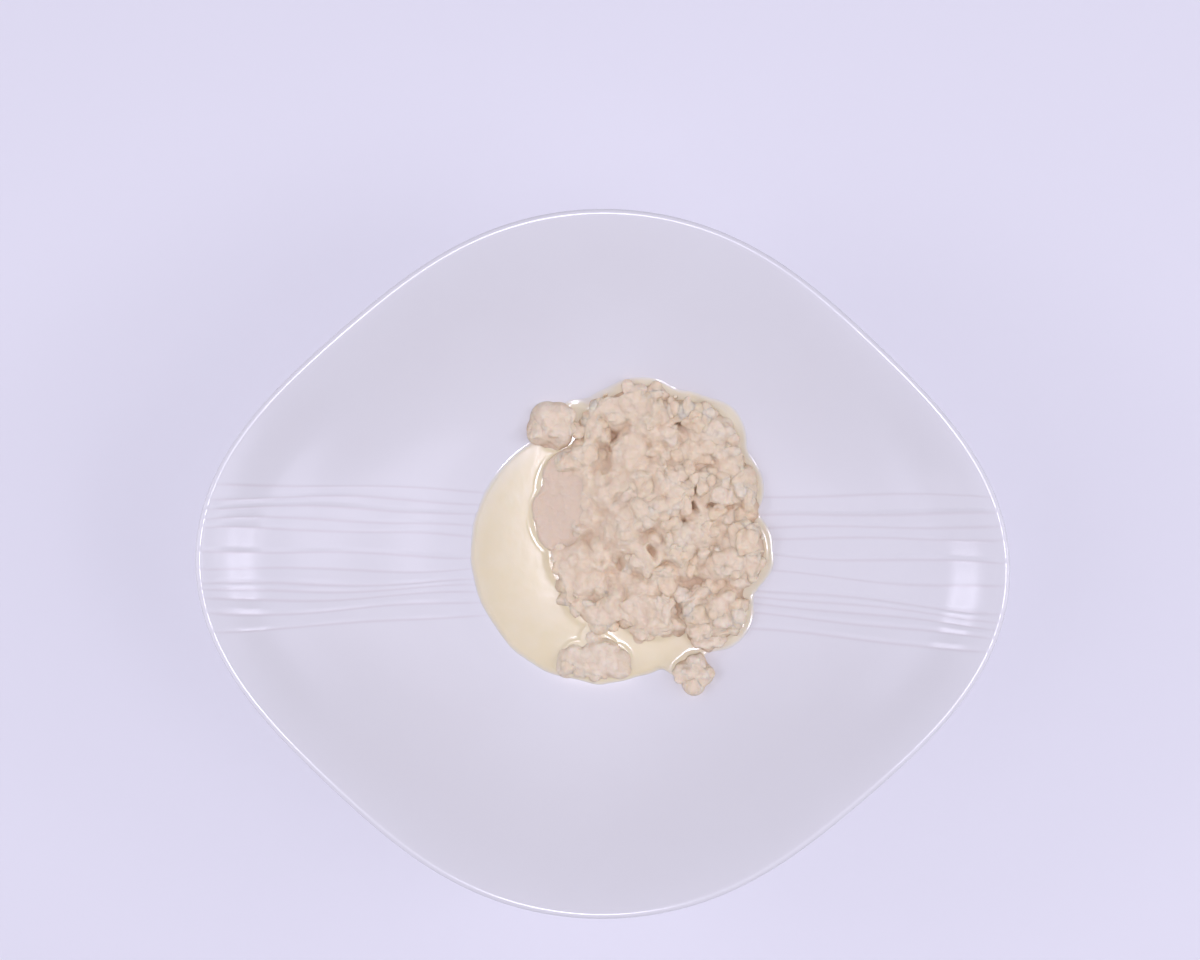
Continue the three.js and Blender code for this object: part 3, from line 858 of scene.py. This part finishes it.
def scattered(rng, lobes, pitch):
    """A jittered triangular pattern of points over some circles."""
    low = (lobes[:, :2] - lobes[:, 2:3]).min(0)
    high = (lobes[:, :2] + lobes[:, 2:3]).max(0)
    x, y = np.meshgrid(np.arange(low[0], high[0], pitch), np.arange(low[1], high[1], pitch * 0.87))
    x = x + 0.5 * pitch * (np.arange(len(y)) % 2)[:, None]
    jitter = rng.uniform(-0.38, 0.38, (2, *x.shape)) * pitch
    return (x + jitter[0]).ravel(), (y + jitter[1]).ravel()


def top_of(clouds, width, pitch=0.8):
    """A function giving the food's smoothed top at any point: the highest vertex near each
    cell of a grid, blurred with a Gaussian of the given width."""
    points = np.concatenate([cloud.reshape(-1, 3) for cloud in clouds])
    low = points[:, :2].min(0) - 12
    shape = np.ceil((points[:, :2].max(0) + 12 - low) / pitch).astype(int)
    cells = ((points[:, :2] - low) / pitch).astype(int)
    top = np.full(shape, -1e9)
    np.maximum.at(top, (cells[:, 0], cells[:, 1]), points[:, 2])
    for axis in (0, 1):
        top = np.maximum(top, np.maximum(np.roll(top, 1, axis), np.roll(top, -1, axis)))
    filled = top > -1e8
    frequencies = np.fft.fftfreq(shape[0])[:, None] ** 2 + np.fft.rfftfreq(shape[1]) ** 2
    gauss = np.exp(-2 * (math.pi * width / pitch) ** 2 * frequencies)

    def blur(values):
        """The grid's values times the Gaussian, wave by wave."""
        return np.fft.irfft2(np.fft.rfft2(values) * gauss, shape)

    mean = blur(np.where(filled, top, 0)) / np.maximum(blur(filled.astype(float)), 1e-3)

    def height(x, y):
        """The blurred top between four cells, by straight lines along x and then y."""
        u = np.clip((x - low[0]) / pitch - 0.5, 0, shape[0] - 1.001)
        v = np.clip((y - low[1]) / pitch - 0.5, 0, shape[1] - 1.001)
        i, j = u.astype(int), v.astype(int)
        u, v = u - i, v - j
        near = mix(mean[i, j], mean[i + 1, j], u)
        return mix(near, mix(mean[i, j + 1], mean[i + 1, j + 1], u), v)

    return height


def tops_of(clouds):
    """The food's top smoothed widely, for the painted shade of deep crevices, and narrowly, for
    that of creases.
    """
    return top_of(clouds, width=3.5), top_of(clouds, width=1.2)


def mound_mesh(lobes, middle, top_at, bowl, count, rings, draw_in, corner):
    """A body of food on a polar grid: its outline is the reach of some circles drawn in a
    little, its top is given, and its edge is rounded down to the floor as a quarter
    ellipse of the given width."""
    direction = np.linspace(0, math.tau, count, endpoint=False)
    reach = round_off(lobe_reach(lobes, middle, direction) - draw_in, count / 120)
    share = 1 - np.linspace(0, 1, rings + 1)[:-1, None] ** 1.25
    x, y = around(middle, reach * share, direction)
    floor = floor_under(x, y, bowl)
    in_from_edge = np.clip((1 - share) * reach / corner, 0, 1)
    edge = np.sqrt(1 - (1 - in_from_edge) ** 2)
    top = np.stack([x, y, floor + np.maximum(0.6, top_at(x, y) - floor) * edge], -1)
    lift = 0.05
    body = np.concatenate([underside(middle, reach, [0.5, 0.96], direction, bowl, lift), top])
    pole = np.array([middle[0]]), np.array([middle[1]])
    points = ring_points([*middle, floor_under(*pole, bowl)[0] + lift], body,
                         [*middle, top_at(*pole)[0]])
    return points, *ring_faces(body.shape[0], count)


def soaked_top(bowl):
    """The smooth top of the soaked slab: its two mounds, with slow low swells."""
    def height(x, y):
        swell = 0.15 * np.sin(x / 3.1 + 1.4 * np.sin(y / 4.7)) * np.sin(y / 3.6 + np.sin(x / 5.3))
        return floor_under(x, y, bowl) + mound_height(SOAKED, x, y, HEAP_EDGE) + swell
    return height


def run_together(balls, bare=1.5):
    """The height at which curds run into each other: over every ball a paraboloid that
    starts a little under the ball's top and falls 0.7 of its half height over its half
    width, and of all these the soft maximum, which is half the log of the sum of e to
    twice the height. A slow wave from place to place, higher to the right, tells where
    curds stand bare and where they drown in cream."""
    def height(x, y):
        wave = np.sin(x / 5.1 + 1.3 * np.sin(y / 7.3)) * np.sin(y / 4.3 + 2.0)
        sink = bare * smooth(wave + 1.2 * smooth(x, 5, 40), 0.3, 0.9) - 0.5
        total = np.full(x.shape, -1e3)
        for x0, y0, z0, wide, high in balls:
            share = ((x - x0) ** 2 + (y - y0) ** 2) / wide ** 2
            total = np.logaddexp(total, 2 * (z0 + high - 0.7 * high * share))
        return total / 2 - sink
    return height


def core_top(run, bowl, level):
    """The top of the core: where the curds run together, sunk at the open gaps, which two
    sine waves bend out of round, but never under the level of the pool."""
    def height(x, y):
        bent_x = x + GAP.bend * np.sin(y / 1.3 + x / 4.1)
        bent_y = y + GAP.bend * np.sin(x / 1.5 - y / 3.7)
        gap = GAP.depth * np.exp(-(apart(bent_x, bent_y, GAPS) / GAP.width) ** 2).max(-1)
        least = np.maximum(level, floor_under(x, y, bowl)) + 0.3 + 0.9 * off_slab(x, y)
        return np.maximum(run(x, y) - gap, least)
    return height


# ---- the heap's curds


def heap_top(rng, x, y, low, high, bowl):
    """Height of the mounds, less by the slab, and a random step from low to high."""
    drowned = SLAB_SINK * (1 - off_slab(x, y, 12, 24))
    heap = floor_under(x, y, bowl) + mound_height(MOUNDS, x, y, HEAP_EDGE)
    return heap - drowned + rng.uniform(low, high, x.shape)


def heap_lumps(rng, bowl, curds):
    """The bigger lumps, each in the heap's top at its own place."""
    x, y, size = LUMPS.T
    top = heap_top(rng, x, y, -1.2, 2.2, bowl)
    placed = set_down(rng, x, y, size * curds.lump_scale, top, (0.6, 0.85), bowl)
    return knobbly_bodies(rng, *placed, knob_count(size), rows=38, columns=50)


def heap_curds(rng, bowl, curds):
    """Curds strewn over the heap and set round its outline, clear of the lumps' middles,
    the open gaps and the slab."""
    x, y = scattered(rng, HEAP_LOBES, 5.6)
    turn = np.linspace(0, math.tau, RIM_CURDS, endpoint=False)
    turn = turn + rng.uniform(-0.04, 0.04, RIM_CURDS)
    rim = lobe_reach(HEAP_LOBES, HEAP_MIDDLE, turn)
    rim = rim - rng.uniform(1.1, 1.9, RIM_CURDS) * curds.curd
    x, y = np.hstack([(x, y), around(HEAP_MIDDLE, rim, turn)])
    size = curds.curd * rng.uniform(0.7, 1.15, x.shape)
    from_lump = (apart(x, y, LUMPS) / LUMPS[:, 2]).min(1)
    keep = (lobe_distance(HEAP_LOBES, x, y) < -0.6 * size) & (from_lump > 0.62)
    keep &= (apart(x, y, GAPS).min(1) > size + 0.4) & (off_slab(x, y) > 0.5)
    x, y, size = x[keep], y[keep], size[keep]
    top = heap_top(rng, x, y, -1.6, 0.8, bowl)
    placed = set_down(rng, x, y, size, top, (0.7, 0.95), bowl)
    return knobbly_bodies(rng, *placed, knobs=4, rows=16, columns=22)


def buried_balls(rng, bowl):
    """Balls under the curds for the core to run over, in the form of the curds' own."""
    x, y = scattered(rng, HEAP_LOBES, 4.2)
    size = rng.uniform(1.8, 3.4, x.shape)
    z = heap_top(rng, x, y, -2.8, -0.8, bowl) - 0.8 * size
    keep = (lobe_distance(HEAP_LOBES, x, y) < 0) & (off_slab(x, y) > 0.3)
    return np.stack([x, y, z, size, 0.8 * size], -1)[keep]


def heap_crumbs(rng, bowl, curds, top_at):
    """Crumbs strewn thinly on top of the curds, clear of the gaps and the slab."""
    x, y = scattered(rng, HEAP_LOBES, 5.0)
    size = curds.crumb * rng.uniform(0.6, 1.3, x.shape)
    keep = (lobe_distance(HEAP_LOBES, x, y) < 0) & (apart(x, y, GAPS).min(1) > 2.5)
    keep &= rng.uniform(size=x.shape) < 0.15 * off_slab(x, y)
    x, y, size = x[keep], y[keep], size[keep]
    placed = set_down(rng, x, y, size, top_at(x, y) - 0.2, (0.7, 1.0), bowl)
    return knobbly_bodies(rng, *placed, knobs=4, rows=6, columns=8)


# ---- operators


def settings():
    """The sizes of the bowl, sauce and curds in millimetres, and the colours."""
    chosen = bpy.context.scene.curd_bowl
    return [in_mm(group) for group in (chosen.bowl, chosen.sauce, chosen.curds, chosen.finishes)]


class CURDBOWL_OT_bowl(bpy.types.Operator):
    """Make the glazed porcelain bowl with its pleated tips"""

    bl_idname = "curdbowl.bowl"
    bl_label = "Porcelain bowl"

    def execute(self, context):
        bowl, _, _, colours = settings()
        piece = mesh_piece("glazed_bowl", *bowl_mesh(bowl), porcelain_material(colours),
                           "porcelain")
        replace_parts(piece, "bowl")
        return {"FINISHED"}


class CURDBOWL_OT_sauce(bpy.types.Operator):
    """Make the pool of cream sauce and the film round the food"""

    bl_idname = "curdbowl.sauce"
    bl_label = "Cream sauce"

    def execute(self, context):
        bowl, sauce, curds, colours = settings()
        piece = mesh_piece("cream_sauce", *sauce_mesh(sauce, bowl, curds.seed),
                           sauce_material(colours), "cream_sauce")
        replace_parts(piece, "sauce_pool")
        return {"FINISHED"}


def food_material():
    """The curds' material, made by the first piece that asks for it."""
    found = bpy.data.materials.get("moist_curd")
    return found or curd_material(settings()[3])


def curd_piece(name, body, tint, tops, soak=0.0, coat=0.0):
    """A piece of curds with its colours' attributes: a tint for each curd, painted shade by how
    deep each point lies below the food's top, smoothed widely and narrowly, and how far it is
    soaked in the sauce or coated with it."""
    bowl, _, curds, _ = settings()
    points, quads, triangles = body[:3]
    flat = stirred(points.reshape(-1, 3), bowl, curds.seed)
    below, just_below = (surface(flat[:, 0], flat[:, 1]) - flat[:, 2] for surface in tops)
    # Painted shade: the deeper a point lies under the smoothed tops, the more crevice colour it
    # takes.
    crevice_shade = 0.7 * smooth(below, 0.9, 5.2) + 0.12 * smooth(just_below, 0, 1.6)
    attributes = {"tint": np.repeat(tint, len(flat) // len(tint)), "crevice_shade": crevice_shade,
                  "soaked": np.full(len(flat), soak), "coated": np.full(len(flat), coat)}
    return mesh_piece(name, flat, quads, triangles, attributes, food_material(), "curd")


class CURDBOWL_OT_heap(bpy.types.Operator):
    """Make the heap: lumps and curds over a core, a soaked slab, and crumbs on top"""

    bl_idname = "curdbowl.heap"
    bl_label = "Heap of curds"

    def execute(self, context):
        bowl, sauce, curds, _ = settings()
        rng = np.random.default_rng(curds.seed)
        lumps = heap_lumps(rng, bowl, curds)
        small = heap_curds(rng, bowl, curds)
        run = run_together(np.concatenate([lumps[3], small[3], buried_balls(rng, bowl)]))
        crumbs = heap_crumbs(rng, bowl, curds, top_of([lumps[0], small[0]], width=0.5))
        core = mound_mesh(HEAP_LOBES, HEAP_MIDDLE, core_top(run, bowl, sauce.level), bowl,
                          count=560, rings=150, draw_in=2.0, corner=2.0)
        slab = mound_mesh(SOAKED[:, :3], (-9, 21), soaked_top(bowl), bowl,
                          count=240, rings=60, draw_in=0.3, corner=2.2)
        tops = tops_of([core[0], lumps[0], small[0], slab[0]])
        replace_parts(curd_piece("heap_core", core, [0.5], tops), "curd_heap")
        curd_piece("heap_slab", slab, [0.3], tops, soak=0.8)
        for name, bodies in ("heap_lumps", lumps), ("heap_curds", small), ("heap_crumbs", crumbs):
            curd_piece(name, bodies, rng.uniform(0, 1, len(bodies[0])), tops)
        return {"FINISHED"}


class CURDBOWL_OT_clumps(bpy.types.Operator):
    """Make the three clumps of curd that lie apart from the heap"""

    bl_idname = "curdbowl.clumps"
    bl_label = "Clumps of curd"

    def execute(self, context):
        bowl, _, curds, _ = settings()
        for k, (name, clump) in enumerate(CLUMPS.items()):
            rng = np.random.default_rng(curds.seed + 10 + k)
            middle = tuple(clump.lobes[:, :2].mean(0))

            x, y, size = clump.curds.T
            top = floor_under(x, y, bowl) + clump.height + rng.uniform(1.0, 2.4, x.shape)
            placed = set_down(rng, x, y, size, top, (0.6, 0.8), bowl)
            knobs = knobbly_bodies(rng, *placed, knob_count(size), rows=30, columns=42)
            run = run_together(knobs[3], bare=0.9)

            def base_top(x, y, clump=clump, run=run):
                """A dome, a parabola in from the outline, run together with the curds:
                half the log of the sum of e to twice each height."""
                inside = np.clip(-lobe_distance(clump.lobes, x, y) / clump.skirt, 0, 1)
                dome = floor_under(x, y, bowl) + clump.height * (1 - (1 - inside) ** 2)
                return np.logaddexp(2 * dome, 2 * run(x, y)) / 2

            base = mound_mesh(clump.lobes, middle, base_top, bowl,
                              count=240, rings=60, draw_in=0.2, corner=clump.corner)
            tops = tops_of([base[0], knobs[0]])
            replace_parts(curd_piece(name + "_base", base, [0.2], tops, coat=clump.coat), name)
            curd_piece(name + "_curds", knobs, rng.uniform(0, 1, len(knobs[0])), tops,
                       coat=0.6 * clump.coat)
        return {"FINISHED"}


def area_light(name, place, target, size, radiance, tint):
    """A rectangular soft light at a place, facing a target; sizes in metres. Its power is
    its radiance times its area times pi, so its brightness doesn't hang on its size."""
    data = bpy.data.lights.new(name, "AREA")
    data.shape, data.size, data.size_y = "RECTANGLE", size[0], size[1]
    data.energy, data.color = radiance * size[0] * size[1] * math.pi, tint
    light = bpy.data.objects.new(name, data)
    light.location = place
    facing = np.subtract(target, place)
    away = math.atan2(math.hypot(facing[0], facing[1]), -facing[2])
    light.rotation_euler = (away, 0, math.atan2(facing[1], facing[0]) - math.pi / 2)
    bpy.context.scene.collection.objects.link(light)


LEFT_TIP, MIDDLE, RIGHT_TIP = (-0.13, 0, 0.054), (0, 0, 0.05), (0.13, 0, 0.054)
# Lights: place, what each faces, its size, all in metres, and its radiance. The strips
# and glows are mirrored in the bowl's tips, and so are the sheens in the left one.
LIGHTS = {
    "overhead": ((0.07, 0.04, 2.0), (0.07, 0.04, 0), (0.36, 0.26), 64.0),
    "panel_right": ((1.3, 0.0, 1.3), MIDDLE, (1.6, 1.2), 0.55),
    "panel_left": ((-1.3, -0.1, 1.3), MIDDLE, (1.6, 1.2), 0.7),
    "panel_low": ((-1.5, -0.4, 0.45), (0, 0, 0.0), (1.2, 0.5), 1.2),
    "panel_front": ((1.1, -0.65, 1.0), MIDDLE, (0.55, 0.5), 1.5),
    "panel_front_left": ((-1.05, -0.75, 1.0), MIDDLE, (0.5, 0.5), 0.6),
    "panel_back_right": ((1.15, 0.7, 0.92), MIDDLE, (0.42, 0.42), 0.5),
    "panel_back_left": ((-1.15, 0.7, 0.92), MIDDLE, (0.42, 0.42), 0.35),
    "strip_right": ((1.15, 0.04, 0.585), LEFT_TIP, (0.56, 0.095), 7.5),
    "strip_left": ((-1.15, 0.12, 0.585), RIGHT_TIP, (0.60, 0.085), 7.5),
    "glow_right": ((1.15, 0.06, 0.580), LEFT_TIP, (0.28, 0.045), 8.0),
    "glow_left": ((-1.15, 0.13, 0.585), RIGHT_TIP, (0.34, 0.045), 9.0),
    "sheen_low": ((1.15, -0.15, 0.81), LEFT_TIP, (0.60, 0.06), 4.0),
    "sheen_high": ((1.0, -0.15, 1.22), LEFT_TIP, (0.60, 0.24), 1.8),
}
ROOM_LIGHT = 0.285
TABLE_HALF = 3.0
# The camera looks straight down: its place in metres, its lens and sensor in millimetres,
# and how many degrees it is rolled.
CAMERA = SimpleNamespace(place=(-0.0017, 0.0302, 0.6537), lens=50, sensor=36, roll=1.34)


class CURDBOWL_OT_stage(bpy.types.Operator):
    """Make the table, the soft studio light and the camera straight above"""

    bl_idname = "curdbowl.stage"
    bl_label = "Stage"

    def execute(self, context):
        colours = settings()[3]
        scene = context.scene
        half = TABLE_HALF
        corners = (-half, -half, 0), (half, -half, 0), (half, half, 0), (-half, half, 0)
        mesh = bpy.data.meshes.new("table_top")
        mesh.from_pydata(corners, [], [(0, 1, 2, 3)])
        mesh.materials.append(table_material(colours))
        table = bpy.data.objects.new("table_top", mesh)
        scene.collection.objects.link(table)

        world = bpy.data.worlds.new("soft_room")
        world.use_nodes = True
        background = world.node_tree.nodes["Background"]
        background.inputs["Color"].default_value = (*colours.daylight, 1)
        background.inputs["Strength"].default_value = ROOM_LIGHT
        scene.world = world
        scene.view_settings.view_transform = "Standard"
        for name, (place, target, size, radiance) in LIGHTS.items():
            area_light(name, place, target, size, radiance, tuple(colours.daylight))

        data = bpy.data.cameras.new("camera")
        data.lens, data.sensor_width = CAMERA.lens, CAMERA.sensor
        camera = bpy.data.objects.new("camera", data)
        camera.location = CAMERA.place
        camera.rotation_euler = (0, 0, math.radians(CAMERA.roll))
        scene.collection.objects.link(camera)
        scene.camera = camera
        return {"FINISHED"}


class CURDBOWL_PT_panel(bpy.types.Panel):
    """Sizes, colours and the steps that make the bowl of curds"""

    bl_idname = "CURDBOWL_PT_panel"
    bl_label = "Curds in cream"
    bl_space_type = "VIEW_3D"
    bl_region_type = "UI"
    bl_category = "Curd bowl"

    def draw(self, context):
        chosen = context.scene.curd_bowl
        for title, group in (("Bowl", chosen.bowl), ("Sauce", chosen.sauce),
                             ("Curds", chosen.curds), ("Colours", chosen.finishes)):
            box = self.layout.box()
            box.label(text=title)
            for prop in own_properties(group):
                box.prop(group, prop.identifier)
        for operator in OPERATORS:
            self.layout.operator(operator.bl_idname)


OPERATORS = (CURDBOWL_OT_stage, CURDBOWL_OT_bowl, CURDBOWL_OT_sauce, CURDBOWL_OT_heap,
             CURDBOWL_OT_clumps)
CLASSES = (BowlSizes, SauceSizes, CurdSizes, Finishes, CurdBowl, *OPERATORS,
           CURDBOWL_PT_panel)


def register():
    """Add the classes, and the sizes and colours to every scene."""
    for cls in CLASSES:
        bpy.utils.register_class(cls)
    bpy.types.Scene.curd_bowl = PointerProperty(type=CurdBowl)


def unregister():
    """Take them away again."""
    del bpy.types.Scene.curd_bowl
    for cls in reversed(CLASSES):
        bpy.utils.unregister_class(cls)


def main():
    """Make the whole scene."""
    register()
    bpy.ops.curdbowl.stage()
    bpy.ops.curdbowl.bowl()
    bpy.ops.curdbowl.sauce()
    bpy.ops.curdbowl.heap()
    bpy.ops.curdbowl.clumps()


if __name__ == "__main__":
    main()
